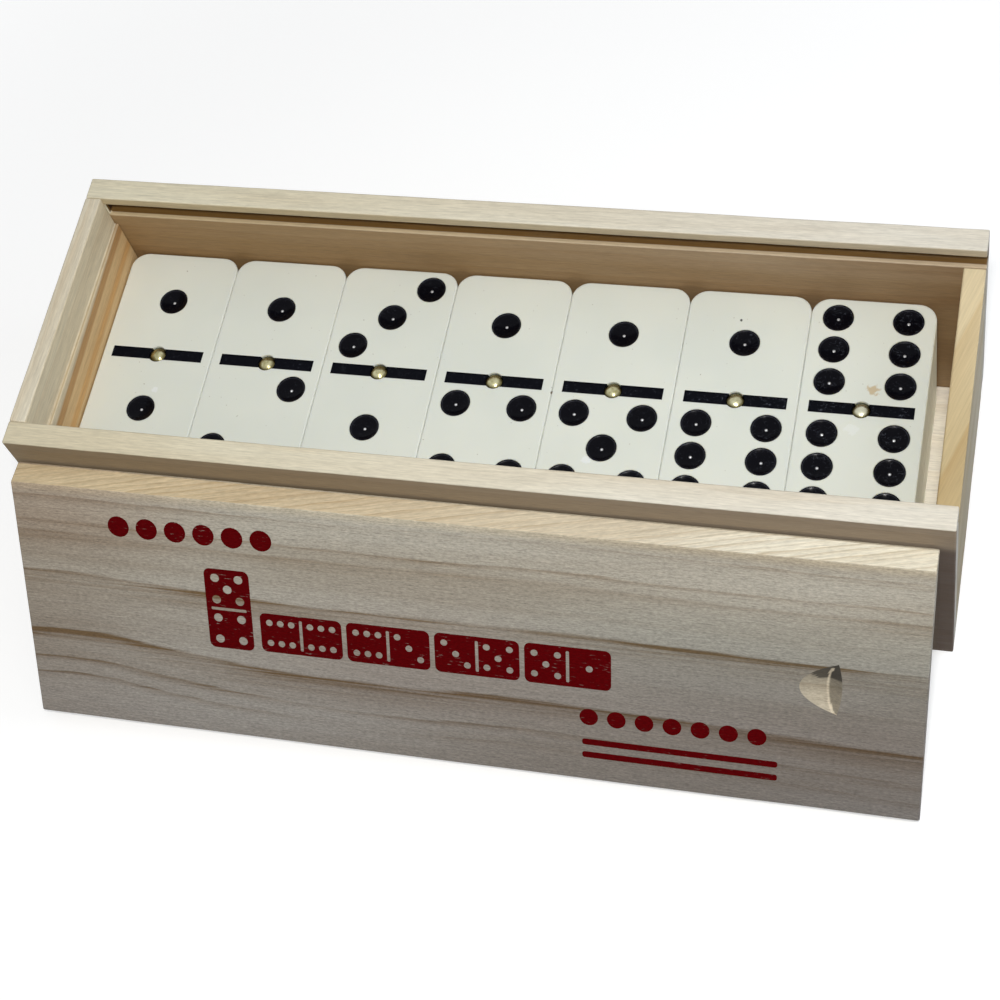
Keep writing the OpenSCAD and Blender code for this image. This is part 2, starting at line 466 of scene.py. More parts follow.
def srgb(red, green, blue):
    """A colour written as it looks on screen, from 0 to 255."""
    parts = []
    for part in (red, green, blue):
        share = part / 255
        parts.append(share / 12.92 if share <= 0.04045 else ((share + 0.055) / 1.055) ** 2.4)
    return (*parts, 1.0)


def new_material(name):
    material = bpy.data.materials.new(name)
    material.use_nodes = True
    material.node_tree.nodes.clear()
    return material, material.node_tree


def close_material(tree, colour, constants, roughness=None, height=None, bump=0.3, depth=0.02):
    """The shader, its bump and the output. depth is the bump's, in millimetres."""
    shader = add_node(tree, "ShaderNodeBsdfPrincipled", {"Base Color": colour, **constants})
    if roughness is not None:
        tree.links.new(roughness, shader.inputs["Roughness"])
    if height is not None:
        inputs = {"Height": height, "Strength": bump, "Distance": depth * MM}
        bumped = add_node(tree, "ShaderNodeBump", inputs)
        tree.links.new(bumped.outputs[0], shader.inputs["Normal"])
    add_node(tree, "ShaderNodeOutputMaterial", {0: shader.outputs[0]})


NO_TURN = Matrix.Identity(3)
ORIGIN = Vector((0, 0, 0))


def local_mm(tree, turn=NO_TURN, origin=ORIGIN):
    """The piece's own coordinates in millimetres, turned so that X runs along the grain."""
    coords = add_node(tree, "ShaderNodeTexCoord").outputs["Object"]
    inputs = {"Vector": coords, "Location": -(turn @ origin), "Rotation": turn.to_euler("XYZ")}
    return add_node(tree, "ShaderNodeMapping", {**inputs, "Scale": (1 / MM,) * 3}).outputs[0]


# How far fine fibres shift the grain lines' edges, in millimetres
RAGGED = 1.1
# Half width of the soft edge between two tones of a board, in millimetres, where a tint names none
TINT_EDGE = 0.15
# The range of a drift's curve and the length of the streaks' ramp, in millimetres
DRIFT_SPAN = 20.0
STREAK_SPAN = 64.0
# A drift is whole up to the first distance across the board, and has its least share at the second
DRIFT_EASE = (15.0, 50.0, 1.0, 0.15)
# The lid's streaks are weaker beyond its left third: from and to, in mm, and the shares there
STREAK_EASE = (35.0, 65.0, 1.0, 0.65)
# How much the rings count on a board that has streaks
RING_SHARE = 0.35


def drifted(tree, across, x, y, drift):
    """Bends the grain lines by a curve along the board, given by its length and its points."""
    length, rows = drift
    curve = tree.nodes.new("ShaderNodeFloatCurve")
    points = curve.mapping.curves[0].points
    for place, value in rows[1:-1]:
        points.new(place / length, value / DRIFT_SPAN + 0.5)
    points[0].location = (0.0, rows[0][1] / DRIFT_SPAN + 0.5)
    points[-1].location = (1.0, rows[-1][1] / DRIFT_SPAN + 0.5)
    curve.mapping.update()
    tree.links.new(calc(tree, "DIVIDE", x, length), curve.inputs["Value"])
    bend = calc(tree, "MULTIPLY", calc(tree, "SUBTRACT", curve.outputs[0], 0.5), DRIFT_SPAN)
    share = spread(tree, y, *DRIFT_EASE)
    return calc(tree, "SUBTRACT", across, calc(tree, "MULTIPLY", bend, share))


def streaked(tree, mm, across, x, streaks, seed):
    """Dark streaks, each with a soft side and a crisp one, uneven along the grain."""
    place = calc(tree, "DIVIDE", across, STREAK_SPAN)
    ramp = add_node(tree, "ShaderNodeValToRGB", {"Fac": place})
    stops = ramp.color_ramp.elements
    stops[0].position, stops[0].color = 0.0, (0, 0, 0, 1)
    stops[1].position, stops[1].color = 1.0, (0, 0, 0, 1)
    for middle, half, dark in streaks:
        profile = ((-half, 0), (-0.3 * half, 0.5 * dark), (0, dark), (0.12 * half, 0))
        for side, value in profile:
            stop = stops.new((middle + side) / STREAK_SPAN)
            stop.color = (value, value, value, 1)
    fade = noise_at(tree, mm, (0.02, 0.12, 0.12), 2.0, 0.6, seed + 5)
    streak = calc(tree, "MULTIPLY", ramp.outputs[0], spread(tree, fade, 0.36, 0.6, 0.6, 1.25))
    lines = noise_at(tree, mm, (0.012, 1.5, 1.5), 3.0, 0.6, seed + 9)
    streak = calc(tree, "MULTIPLY", streak, spread(tree, lines, 0.4, 0.62, 0.65, 1.55))
    return calc(tree, "MULTIPLY", streak, spread(tree, x, *STREAK_EASE))


def tinted(tree, colour, tints, turn, origin):
    """Multiplies the colour by each tint, inside the tint's ranges of X, Y and Z in millimetres.

    A range may name the half width of its soft edges.
    """
    parts = axes(tree, local_mm(tree, turn, origin))
    for ranges, tint in tints:
        mask = 1.0
        for axis, (low, high, *width) in ranges.items():
            part = parts["XYZ".index(axis)]
            edge = width[0] if width else TINT_EDGE
            rise = spread(tree, part, low - edge, low + edge)
            fall = spread(tree, part, high - edge, high + edge, 1.0, 0.0)
            mask = calc(tree, "MULTIPLY", calc(tree, "MULTIPLY", rise, fall), mask)
        colour = mix(tree, mask, colour, times(tree, colour, tint))
    return colour


def pine(
    name,
    light,
    dark,
    turn=NO_TURN,
    origin=ORIGIN,
    seed=0.0,
    spacing=5.0,
    slant=0.35,
    wander=3.0,
    strength=0.55,
    streaks=None,
    drift=None,
    ink=None,
    tints=(),
    tint_turn=NO_TURN,
    tint_origin=ORIGIN,
    grain=1.0,
    vertex_light=False,
):
    """Raw sawn pine, with its rings along X.

    spacing, wander and streaks are in millimetres. A streak is its place across the board, its
    half width and its darkness. strength is the rings' and grain the fineness of the fibres.
    With ink, the wood is printed. With vertex_light, the mesh's painted light and shade, held at
    each vertex as tone, darkens or lightens it.
    """
    material, tree = new_material(name)
    mm = local_mm(tree, turn, origin)
    x, y, z = axes(tree, mm)
    # The lines across the board, bent by slow, quick and ragged waves
    slow = noise_at(tree, mm, (0.011, 0.035, 0.035), 2.0, 0.5, seed)
    quick = noise_at(tree, mm, (0.03, 0.35, 0.35), 2.0, 0.6, seed + 1)
    ragged = noise_at(tree, mm, (0.07, 1.7, 1.7), 2.0, 0.6, seed + 8)
    warp = calc(tree, "MULTIPLY", calc(tree, "SUBTRACT", slow, 0.5), 2 * wander)
    warp = calc(tree, "MULTIPLY_ADD", calc(tree, "SUBTRACT", quick, 0.5), 0.9, warp)
    warp = calc(tree, "MULTIPLY_ADD", calc(tree, "SUBTRACT", ragged, 0.5), RAGGED, warp)
    across = calc(tree, "ADD", calc(tree, "MULTIPLY_ADD", z, slant, y), warp)
    if drift is not None:
        across = drifted(tree, across, x, y, drift)
    # Rings: slowly darker late wood with a crisp end, each of its own strength
    ring = calc(tree, "FRACT", calc(tree, "DIVIDE", across, spacing))
    number = calc(tree, "FLOOR", calc(tree, "DIVIDE", across, spacing))
    chance = add_node(tree, "ShaderNodeTexWhiteNoise", {"W": number}, noise_dimensions="1D")
    late = calc(tree, "MULTIPLY", calc(tree, "POWER", ring, 3.0), spread(tree, ring, 1.0, 0.93))
    weight = spread(tree, chance.outputs[0], 0.0, 1.0, 0.25, 1.0, smooth=False)
    late = calc(tree, "MULTIPLY", calc(tree, "MULTIPLY", late, weight), strength)
    if streaks is not None:
        streak = streaked(tree, mm, across, x, streaks, seed)
        late = calc(tree, "MAXIMUM", calc(tree, "MULTIPLY", late, RING_SHARE), streak)
    # Broad clouds, fibres, hairs and short dark flecks
    broad = noise_at(tree, mm, (0.008, 0.09, 0.09), 2.0, 0.5, seed + 2)
    fibre = noise_at(tree, mm, (0.07 * grain, 2.6, 2.6), 4.0, 0.65, seed + 3)
    hair = noise_at(tree, mm, (0.35 * grain, 3.6, 3.6), 2.0, 0.7, seed + 4)
    fleck = spread(tree, noise_at(tree, mm, (0.12, 3.2, 3.2), 1.0, 0.5, seed + 6), 0.72, 0.8)
    colour = mix(tree, spread(tree, broad, 0.35, 0.68, 0.0, 0.3), light, dark)
    colour = mix(tree, late, colour, dark)
    shade = 1.0
    for waves, depth in ((fibre, 0.5 * grain**0.5), (hair, 0.5 * grain**0.8)):
        shade = calc(tree, "MULTIPLY_ADD", calc(tree, "SUBTRACT", waves, 0.5), depth, shade)
    shade = calc(tree, "SUBTRACT", shade, calc(tree, "MULTIPLY", fleck, 0.2))
    colour = times(tree, colour, grey(tree, shade))
    if vertex_light:
        # The painted light and shade that the mesh holds at each vertex
        tone = add_node(tree, "ShaderNodeAttribute", attribute_name="tone").outputs["Fac"]
        colour = times(tree, colour, grey(tree, tone))
    if tints:
        colour = tinted(tree, colour, tints, tint_turn, tint_origin)
    height = calc(tree, "MULTIPLY_ADD", hair, 0.6, fibre)
    height = calc(tree, "MULTIPLY_ADD", late, -0.35, height)
    rough = spread(tree, fibre, 0.3, 0.7, 0.62, 0.8)
    if ink is not None:
        # The ink is thinner on the hairs and worn off in patches
        patch = noise_at(tree, mm, (0.5, 2.4, 2.4), 3.0, 0.6, seed + 7)
        worn = spread(tree, patch, 0.62, 0.78, 0.0, 0.7)
        tone = mix(tree, spread(tree, hair, 0.35, 0.65), ink, [c * 0.72 for c in ink[:3]] + [1])
        colour = mix(tree, worn, tone, colour)
        rough = spread(tree, fibre, 0.3, 0.7, 0.45, 0.6)
        height = calc(tree, "MULTIPLY", height, 0.6)
    shine = {"Specular IOR Level": 0.35 if ink is None else 0.03}
    close_material(tree, colour, shine, rough, height, bump=0.6, depth=0.06)
    return material


# The upper face of the tiles in the top layer, and how far apart the layers' faces are
tile_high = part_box("tile_6_6")[1] / MM
TOP_FACE = tile_high.z
LAYER_PITCH = TOP_FACE - (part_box("tile_5_6")[1] / MM).z
# A painted glow on the right sides of the tiles at the open end, beside the wide gap
SIDE_PAINTED_GLOW = 0.22
# Dirt and scuffs on the tiles' faces: the middle, the radius, the colour and the strength
MARKS = [
    ((10.5, 0.2), 0.35, (96, 84, 56), 0.9),
    ((46.9, 20.9), 0.3, (60, 58, 56), 0.9),
    ((75.5, 6.7), 1.3, (196, 176, 140), 0.85),
    ((20.5, -14.8), 1.0, (242, 245, 250), 0.35),
    ((72.4, -2.7), 1.4, (240, 243, 246), 0.25),
    ((-76.1, -7.0), 0.7, (240, 242, 248), 0.4),
]


def ivory():
    """Moulded ivory plastic: even, glossy, faintly cloudy, with specks and hairline scratches, and
    a painted glow on the right sides of the tiles at the open end.
    """
    material, tree = new_material("ivory_plastic")
    mm = local_mm(tree)
    cloud = noise_at(tree, mm, (0.05, 0.05, 0.05), 2.0, 0.5, 1.0)
    colour = mix(tree, spread(tree, cloud, 0.3, 0.7), srgb(222, 225, 215), srgb(217, 221, 212))
    speck = spread(tree, noise_at(tree, mm, (1.7, 1.7, 1.7), 1.0, 0.4, 2.0), 0.79, 0.82)
    colour = mix(tree, calc(tree, "MULTIPLY", speck, 0.6), colour, srgb(120, 104, 80))
    blot = noise_at(tree, mm, (1.1, 1.1, 1.1), 3.0, 0.6, 12.0)
    flat = add_node(tree, "ShaderNodeMapping", {"Vector": mm, "Scale": (1, 1, 0)}).outputs[0]
    for place, radius, tone, strength in MARKS:
        ends = {0: flat, 1: (*place, 0.0)}
        away = add_node(tree, "ShaderNodeVectorMath", ends, operation="DISTANCE").outputs["Value"]
        away = calc(tree, "MULTIPLY_ADD", calc(tree, "SUBTRACT", blot, 0.5), -2.5 * radius, away)
        mask = spread(tree, away, 0.6 * radius, 1.1 * radius, strength, 0.0)
        colour = mix(tree, mask, colour, srgb(*tone))
    x = axes(tree, mm)[0]
    # A painted glow on the right sides of the tiles at the open end
    side_painted_glow = spread(tree, x, tile_high.x - 0.1, tile_high.x + SIDE_SWELL, 0.0, SIDE_PAINTED_GLOW)
    scratch = noise_at(tree, mm, (0.12, 9.0, 3.0), 1.0, 0.5, 3.0)
    rough = spread(tree, scratch, 0.66, 0.74, 0.38, 0.55)
    height = noise_at(tree, mm, (0.35, 0.35, 0.35), 2.0, 0.5, 4.0)
    look = {
        "IOR": 1.5,
        "Specular IOR Level": 0.25,
        "Subsurface Weight": 0.25,
        "Subsurface Radius": (0.0022, 0.0019, 0.0013),
        "Subsurface Scale": 1.0,
        "Emission Color": srgb(222, 218, 198),
        "Emission Strength": side_painted_glow,
    }
    close_material(tree, colour, look, rough, height, bump=0.15, depth=0.05)
    return material


def black_paint(name, tone, shine, smooth, rough, scratched=0.0):
    """Black paint with dust and curved hairline scratches, which are stronger on the right.

    smooth and rough are its least and most roughness, and scratched is the scratches' strength.
    """
    material, tree = new_material(name)
    mm = local_mm(tree)
    dust = spread(tree, noise_at(tree, mm, (2.3, 5.0, 5.0), 2.0, 0.6, 5.0), 0.68, 0.8)
    colour = mix(tree, calc(tree, "MULTIPLY", dust, 0.14), srgb(*tone), srgb(110, 112, 122))
    curl = noise_at(tree, mm, (0.9, 1.3, 1.3), 1.0, 0.5, 10.0)
    away = calc(tree, "ABSOLUTE", calc(tree, "SUBTRACT", curl, 0.5))
    faint = spread(tree, noise_at(tree, mm, (0.8, 0.8, 0.8), 2.0, 0.5, 13.0), 0.45, 0.62)
    line = calc(tree, "MULTIPLY", spread(tree, away, 0.0, 0.014, scratched, 0.0), faint)
    line = calc(tree, "MULTIPLY", line, spread(tree, axes(tree, mm)[0], 10, 80, 0.25, 1.0))
    colour = mix(tree, line, colour, srgb(92, 96, 108))
    smear = noise_at(tree, mm, (0.8, 0.8, 0.8), 3.0, 0.6, 6.0)
    gloss = spread(tree, smear, 0.35, 0.7, smooth, rough)
    height = noise_at(tree, mm, (2.2, 2.2, 2.2), 2.0, 0.5, 7.0)
    look = {"Specular IOR Level": shine}
    close_material(tree, colour, look, gloss, height, bump=0.1, depth=0.01)
    return material


def painted_glint():
    """A painted glint: a bright, mirror-like and faintly glowing spot in the middle of a drilled
    hollow.
    """
    material, tree = new_material("painted_glint")
    cloud = noise_at(tree, local_mm(tree), (3.0, 3.0, 3.0), 2.0, 0.5, 11.0)
    colour = mix(tree, spread(tree, cloud, 0.35, 0.7), (1, 1, 1, 1), srgb(236, 238, 244))
    glow = {"Emission Color": (1, 1, 1, 1), "Emission Strength": 0.25}
    close_material(tree, colour, {"Metallic": 1.0, "Roughness": 0.3, **glow})
    return material


# How far below each layer's faces the pins' painted dark edge starts anew, in millimetres
BRASS_LEVEL = 2.0


def brass():
    """Lacquered brass, a little tarnished, with a painted dark reflection around its edge and
    painted cool light that makes it more silvery on the right.
    """
    material, tree = new_material("brass_metal")
    mm = local_mm(tree)
    stain = noise_at(tree, mm, (1.1, 1.1, 1.1), 3.0, 0.6, 8.0)
    colour = mix(tree, spread(tree, stain, 0.35, 0.7), srgb(190, 187, 152), srgb(150, 144, 102))
    x, _, z = axes(tree, mm)
    # Painted cool light: more silvery towards the right
    colour = mix(tree, spread(tree, x, 30, 90, 0.0, 0.7), colour, srgb(206, 206, 192))
    # A painted dark reflection around each head's edge, on every layer
    above = calc(tree, "SUBTRACT", z, TOP_FACE - BRASS_LEVEL)
    above = calc(tree, "MODULO", above, LAYER_PITCH)
    edge = spread(tree, above, BRASS_LEVEL - BAR_DEPTH, BRASS_LEVEL + HEAD_PROUD / 2, 1.0, 0.0)
    colour = mix(tree, edge, colour, srgb(104, 97, 64))
    rough = spread(tree, stain, 0.3, 0.7, 0.22, 0.34)
    height = noise_at(tree, mm, (1.6, 1.6, 1.6), 2.0, 0.5, 9.0)
    close_material(tree, colour, {"Metallic": 1.0}, rough, height, bump=0.35, depth=0.06)
    return material


# ---------------------------------------------------------------- the box

GRAIN_ALONG_Y = Matrix.Rotation(-math.pi / 2, 3, "Z")
GRAIN_OBLIQUE = Matrix.Rotation(math.radians(-72), 3, "Z")
ON_EDGE = Matrix.Rotation(-math.pi / 2, 3, "X")

# Tints of the boards: their inner faces, browner wood with painted shade, and their outer faces,
# with painted shade; a painted shadow beside the lid's end at the open end; the edge below the
# groove; painted shade deeper inside, above the tiles; painted warm light on the left and
# painted cool light on the right; the groove, with painted shade, and its lip; and the cut ends,
# with painted shade, cool on the open end's outer face
INNER_BROWN_SHADE = (0.50, 0.36, 0.235, 1)
OUTER_SHADE = (0.465, 0.385, 0.314, 1)
LID_END_SHADOW = (0.36, 0.33, 0.35, 1)
LEDGE = (0.78, 0.66, 0.52, 1)
DEEP_SHADE = (0.84, 0.80, 0.72, 1)
WARM_LIGHT = (0.97, 0.95, 0.87, 1)
COOL_LIGHT = (0.99, 1.0, 1.06, 1)
GROOVE_SHADE = (0.22, 0.125, 0.036, 1)
LIP = (0.79, 0.71, 0.59, 1)
CUT_END_SHADE = (0.76, 0.77, 0.80, 1)
OUTER_END_COOL_SHADE = (0.72, 0.78, 0.96, 1)
# Far outside the part, and the soft edge of a tint on a cut end, in millimetres
FAR = 1000.0
END_EDGE = 0.06
GROOVE_HEIGHT = 3.6
STEP_HEIGHT = 9.0
STEP_DEPTH = 0.8
wall_low, wall_high = (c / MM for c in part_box("back_wall"))
front_low, front_high = (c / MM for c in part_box("front_wall"))
open_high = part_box("open_end_wall")[1] / MM
closed_low, closed_high = (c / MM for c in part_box("closed_end_wall"))
seat = open_high.z
groove_top = seat + GROOVE_HEIGHT
# A little beyond the groove's blind end, in the closed end
groove_end = wall_low.x + 3
# The closed end's lower and upper inner faces, from its outer face
lower_face = closed_high.x - closed_low.x
upper_face = lower_face - STEP_DEPTH
# How the brown heartwood of the closed end falls towards the front
HEARTWOOD_SLOPE = math.radians(2.3)
rim_pine = pine(
    "rim_pine", srgb(222, 217, 200), srgb(182, 160, 124), ON_EDGE, seed=2.0, spacing=7.0,
    slant=0.5, strength=0.35,
    tints=[
        # Painted shade on the outer and inner faces, a painted shadow beside the lid's end, painted
        # warm and cool light, and painted shade on the cut end
        ({"Y": (-FAR, front_low.y + 0.4), "Z": (-FAR, front_high.z - 0.3)}, OUTER_SHADE),
        ({"Y": (front_high.y - 0.2, FAR), "Z": (-FAR, seat - 0.2)}, INNER_BROWN_SHADE),
        ({"Y": (-FAR, front_low.y + 0.4), "Z": (-FAR, front_high.z - 8.0, 1.5),
          "X": (91.4, FAR, 1.6)}, LID_END_SHADOW),
        ({"X": (-FAR, 0, 90)}, WARM_LIGHT),
        ({"X": (0, FAR, 90)}, COOL_LIGHT),
        ({"X": (front_high.x - 0.1, FAR, END_EDGE)}, CUT_END_SHADE),
    ],
)
back_pine = pine(
    "back_pine", srgb(222, 216, 198), srgb(178, 154, 116), ON_EDGE, seed=9.0, spacing=8.0,
    slant=0.5, strength=0.35,
    tints=[
        # Painted shade on the inner face and deeper down, painted shade in the groove, painted warm
        # and cool light, and painted shade on the cut end
        ({"Y": (-FAR, wall_low.y + 0.2), "Z": (-FAR, seat - 0.2)}, INNER_BROWN_SHADE),
        ({"Y": (-FAR, wall_low.y + 0.2), "Z": (-FAR, seat - 6, 2)}, DEEP_SHADE),
        ({"X": (groove_end, FAR), "Y": (wall_low.y + 0.9, wall_high.y - 0.8),
          "Z": (seat - 0.2, groove_top + 0.1)}, GROOVE_SHADE),
        ({"X": (groove_end, FAR), "Y": (wall_low.y + 0.3, wall_high.y - 0.8),
          "Z": (seat + 0.5, groove_top - 0.3)}, GROOVE_SHADE),
        ({"Y": (-FAR, wall_low.y + 0.3), "Z": (groove_top, wall_high.z - 0.2)}, LIP),
        ({"Y": (wall_low.y - 0.2, wall_low.y + 1.0), "Z": (seat - 0.2, seat + 0.2)}, LEDGE),
        ({"X": (-FAR, 0, 90)}, WARM_LIGHT),
        ({"X": (0, FAR, 90)}, COOL_LIGHT),
        ({"X": (wall_high.x - 0.1, FAR, END_EDGE)}, CUT_END_SHADE),
    ],
)
left_pine = pine(
    "left_pine", srgb(222, 215, 195), srgb(180, 150, 106), GRAIN_ALONG_Y,
    seed=5.0, spacing=6.0, slant=1.0, strength=0.5,
    tint_turn=Matrix.Rotation(-HEARTWOOD_SLOPE, 3, "X"),
    tint_origin=Vector((closed_low.x, closed_high.y, wall_high.z - STEP_HEIGHT)),
    tints=[
        ({"X": (upper_face + 0.25, lower_face - 0.25)}, (0.72, 0.68, 0.60, 1)),
        ({"X": (lower_face - 0.4, FAR), "Z": (-FAR, -0.3)}, (0.88, 0.68, 0.45, 1)),
        ({"X": (upper_face + 0.2, FAR), "Z": (-2.6, 0.2, 0.4)}, (0.72, 0.60, 0.48, 1)),
        ({"X": (lower_face - 0.4, FAR), "Z": (-8.2, -6.0, 0.5)}, (0.92, 0.78, 0.60, 1)),
        ({"X": (upper_face - 0.2, FAR), "Z": (0.2, FAR)}, (0.90, 0.86, 0.79, 1)),
    ],
)
right_pine = pine(
    "right_pine", srgb(218, 202, 166), srgb(190, 160, 110), GRAIN_OBLIQUE, seed=7.0, spacing=9.0,
    slant=0.6, wander=1.5, strength=0.75, grain=0.5,
    tints=[
        # Painted shade: darker towards the front
        ({"Y": (-FAR, 5, 25)}, (0.75, 0.71, 0.62, 1)),
        # Painted cool shade on the outer end face
        ({"X": (open_high.x - 0.1, FAR, END_EDGE)}, OUTER_END_COOL_SHADE),
    ],
)
# The panel is pale wood, made paler still as painted light on the floor seen beside the tiles
panel_pine = pine(
    "panel_pine", srgb(243, 238, 227), srgb(222, 204, 174), seed=11.0, spacing=8.0, strength=0.4,
)

board("front_wall", rim_pine, 1.3)
board("back_wall", back_pine, 2.1)
board("closed_end_wall", left_pine, 3.7)
board("open_end_wall", right_pine, 4.9)
board("bottom_panel", panel_pine, 5.3, width=0.25)

# ---------------------------------------------------------------- the lid

# Sizes in millimetres
LID_EDGE = 0.6
LID_SLOPE = 2.6
LID_THICKNESS = 4.5
LID_WEAR = 0.3
LID_STEP = 6.0
NOTCH_WIDTH = 11.6
NOTCH_LENGTH = 8.2
NOTCH_DEPTH = 2.2
NOTCH_RADIUS = (NOTCH_WIDTH**2 / 4 + NOTCH_DEPTH**2) / (2 * NOTCH_DEPTH)
NOTCH_CURVE = 18.0
NOTCH_INSET = 16.0
NOTCH_STEEP = 2.9
# Rows across the notch, and how much of its width they cover
NOTCH_ROWS = 44
ROWS_SHARE = 0.985
NOTCH_RIPPLE = 0.06
# Steps across the notch, on its slope and on its steep side
SLOPE_STEPS, STEEP_STEPS = 14, 7
# Painted light and shade on the notch's cut wood: how light it is on its slope, the painted
# shadow below its upper rim, the painted highlight on its ridge, and how much of the slope's
# light is left in the painted shade behind the ridge
SLOPE_LIGHT, RIM_SHADOW, RIDGE_HIGHLIGHT, STEEP_SHADE = 0.95, 0.16, 1.3, 0.55
RIDGE_WIDTH = 0.28
SLOPE_GRAIN = math.radians(-13)
INK = srgb(92, 1, 5)
# The print, from the lid's lower left corner. Dots: the first one's place along the lid, their
# number, their pitch, their height and their radius
DOT_ROWS = ((23.2, 6, 6.2, 49.2, 2.35), (121.4, 7, 5.6, 17.2, 1.9))
# The upright pictogram: its middle, its half sizes, its values and its pips' radius
UPRIGHT = (46.0, 32.6, 4.9, 9.2, (5, 4), 0.95)
# The lying ones: the first one's middle, the pitch, the half sizes and the pips' radius
LYING = (61.4, 28.2, 18.6, 8.8, 4.5, 0.72)
LYING_VALUES = ((6, 6), (6, 3), (3, 5), (5, 1))
# The rules: their middle, their heights and their half sizes
RULE_MIDDLE, RULE_HEIGHTS, RULE_HALF = 139.6, (11.4, 8.4), (19.6, 0.7)

corners = [v.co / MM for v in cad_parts["lid"].data.vertices]
foot = min(corners, key=lambda p: (round(p.z, 3), p.y))
crest = max(corners, key=lambda p: p.y)
lid_low, lid_high = (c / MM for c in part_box("lid"))
lid_length = lid_high.x - lid_low.x
lid_width = math.hypot(crest.y - foot.y, crest.z - foot.z)
lid_angle = math.atan2(crest.z - foot.z, crest.y - foot.y)
lid_origin = Vector((lid_low.x, foot.y, foot.z))
lid_place = Matrix.Translation(lid_origin) @ Matrix.Rotation(lid_angle, 4, "X")


def notch_depth(x, u):
    """Depth of the notch's scooped slope. x is 0 at its steep side, and u 0 at its middle."""
    floor = NOTCH_DEPTH * (x + NOTCH_LENGTH) / NOTCH_LENGTH
    return floor - NOTCH_RADIUS + math.sqrt(NOTCH_RADIUS**2 - u**2)


def notch_row(u):
    """The x of a row's left end, its ridge and its right end."""
    rise = NOTCH_RADIUS - math.sqrt(NOTCH_RADIUS**2 - u**2)
    left = NOTCH_LENGTH * (rise / NOTCH_DEPTH - 1)
    right = math.sqrt(NOTCH_CURVE**2 - u**2) - NOTCH_CURVE
    left = min(left, right - 0.02)
    share = 1 - (2 * u / NOTCH_WIDTH) ** 2
    ridge = right - NOTCH_STEEP * share**0.8
    return left, max(ridge, left + (right - left) * 0.3), right


def notch_painted_light(x, u, ridge):
    """Painted light and shade of the cut wood: a painted shadow below the upper rim, a painted
    highlight on the ridge and painted shade behind it.
    """
    share = min(max(u / (NOTCH_WIDTH / 2), -1.0), 1.0)
    if abs(x - ridge) < RIDGE_WIDTH and share < 0.75:
        return RIDGE_HIGHLIGHT
    slope = SLOPE_LIGHT - 0.4 * max(0.0, share + 0.25)
    below_rim = (x + NOTCH_LENGTH) / NOTCH_LENGTH - (1 - share)
    if below_rim > -0.25 and share > 0.3:
        slope = RIM_SHADOW
    return slope if x <= ridge else slope * STEEP_SHADE


def add_notch(bm, middle, top):
    """The thumb notch: a scooped slope, a ridge line and a steep side. Returns its outline."""
    # tone holds the painted light and shade at each vertex of the notch
    tone = bm.verts.layers.float["tone"]
    rows = []
    for number in range(1, NOTCH_ROWS):
        u = -NOTCH_WIDTH / 2 * math.cos(math.pi * number / NOTCH_ROWS) * ROWS_SHARE
        left, ridge, right = notch_row(u)
        deep = max(notch_depth(ridge, u), 0.05)
        row = []
        for k in range(SLOPE_STEPS + STEEP_STEPS + 1):
            if k <= SLOPE_STEPS:
                x = left + (ridge - left) * k / SLOPE_STEPS
                depth = max(notch_depth(x, u), 0.0) if k else 0.0
                swell = math.sin(math.pi * k / SLOPE_STEPS)
                ripple = NOTCH_RIPPLE * math.sin(2.1 * x + 0.5 * u) * swell
                depth = max(depth + ripple, 0.0)
            else:
                share = (k - SLOPE_STEPS) / STEEP_STEPS
                x = ridge + (right - ridge) * share
                depth = deep * (1 - share**1.4)
            vert = bm.verts.new((middle[0] + x, middle[1] + u, top - depth))
            vert[tone] = notch_painted_light(x, u, ridge)
            row.append(vert)
        rows.append(row)
    for lower, upper in zip(rows, rows[1:]):
        for k in range(len(lower) - 1):
            face = bm.faces.new((lower[k], lower[k + 1], upper[k + 1], upper[k]))
            face.smooth = True
            face.material_index = LID_CUT
    for ends in (rows[0], rows[-1][::-1]):
        bm.faces.new(ends).smooth = False
    return [row[0] for row in rows[::-1]] + [row[-1] for row in rows]


def print_shapes():
    """The red print: plain domino-tile pictograms, rows of dots and rules, as closed outlines."""
    shapes = []

    def dots(first, count, pitch, u, radius):
        for k in range(count):
            shapes.append(circle(radius, 24, (first + k * pitch, u)))

    def pictogram(x, u, half_x, half_y, values, pip, upright):
        shapes.append(rounded_rectangle(half_x, half_y, min(half_x, half_y) * 0.28, 6, (x, u)))
        long_half = half_y if upright else half_x
        short_half = half_x if upright else half_y
        bar = (short_half * 0.78, 0.32) if upright else (0.32, short_half * 0.78)
        shapes.append(rounded_rectangle(*bar, 0.2, 2, (x, u)))
        for sign, value in zip((1, -1), values):
            for column, row in PIPS[value]:
                a = column * short_half * 0.52
                b = sign * long_half / 2 + row * long_half * 0.27
                place = (x + a, u + b) if upright else (x - b, u + a)
                shapes.append(circle(pip, 16, place))

    dots(*DOT_ROWS[0])
    pictogram(*UPRIGHT, True)
    x, u, pitch, half_x, half_y, pip = LYING
    for k, values in enumerate(LYING_VALUES):
        pictogram(x + pitch * k, u, half_x, half_y, values, pip, False)
    dots(*DOT_ROWS[1])
    for u in RULE_HEIGHTS:
        shapes.append(rounded_rectangle(*RULE_HALF, 0.5, 3, (RULE_MIDDLE, u)))
    return shapes


